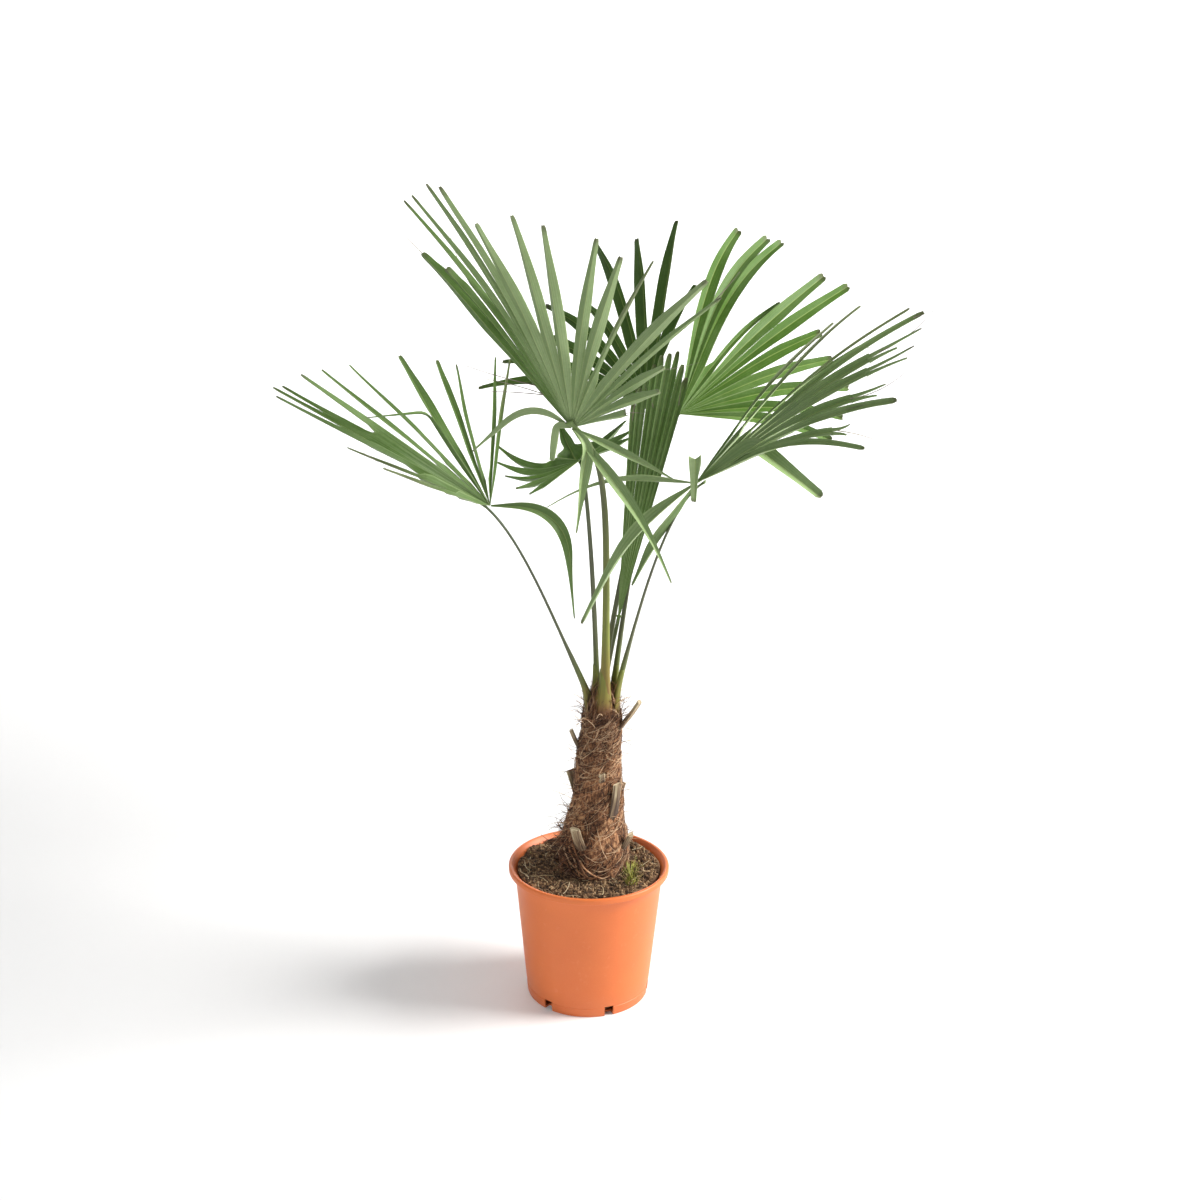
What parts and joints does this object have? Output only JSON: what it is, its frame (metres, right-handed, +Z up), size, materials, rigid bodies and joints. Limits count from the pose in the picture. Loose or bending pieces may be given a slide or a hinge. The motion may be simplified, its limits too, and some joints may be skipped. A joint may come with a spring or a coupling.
{
  "type": "potted windmill palm",
  "caption": "Young fan palm with a short fibrous trunk and long-stalked fan fronds, growing in a round terracotta-coloured nursery pot.",
  "frame": {"origin": "centre of the pot's flat underside", "axes": "+Z up along the pot's axis; the side seen in the picture faces -Y; +X to the viewer's right"},
  "size_m": [0.9339, 0.8, 1.3164],
  "materials": {
    "pot": "satin",
    "soil": "rough",
    "trunk_fibre": "rough",
    "cut_leaf_base": "rough",
    "leaf_stalk": "satin",
    "leaf_blade": "satin"
  },
  "bodies": {
    "root": {"pot": "pot", "soil": "soil", "trunk": "trunk_fibre", "leaf_base_right": "cut_leaf_base", "leaf_base_left": "cut_leaf_base", "leaf_base_front": "cut_leaf_base", "leaf_base_low_left": "cut_leaf_base", "leaf_base_low_right": "cut_leaf_base", "leaf_base_mid_front": "cut_leaf_base", "leaf_base_back_left": "cut_leaf_base", "leaf_base_back": "cut_leaf_base", "leaf_base_back_right": "cut_leaf_base", "stalk_front": "leaf_stalk", "blade_front": "leaf_blade", "stalk_left": "leaf_stalk", "blade_left": "leaf_blade", "stalk_back_right": "leaf_stalk", "blade_back_right": "leaf_blade", "stalk_right": "leaf_stalk", "blade_right": "leaf_blade", "stalk_back": "leaf_stalk", "blade_back": "leaf_blade", "stalk_spear": "leaf_stalk", "blade_spear": "leaf_blade", "stalk_low_back": "leaf_stalk", "blade_low_back": "leaf_blade"}
  },
  "joints": []
}
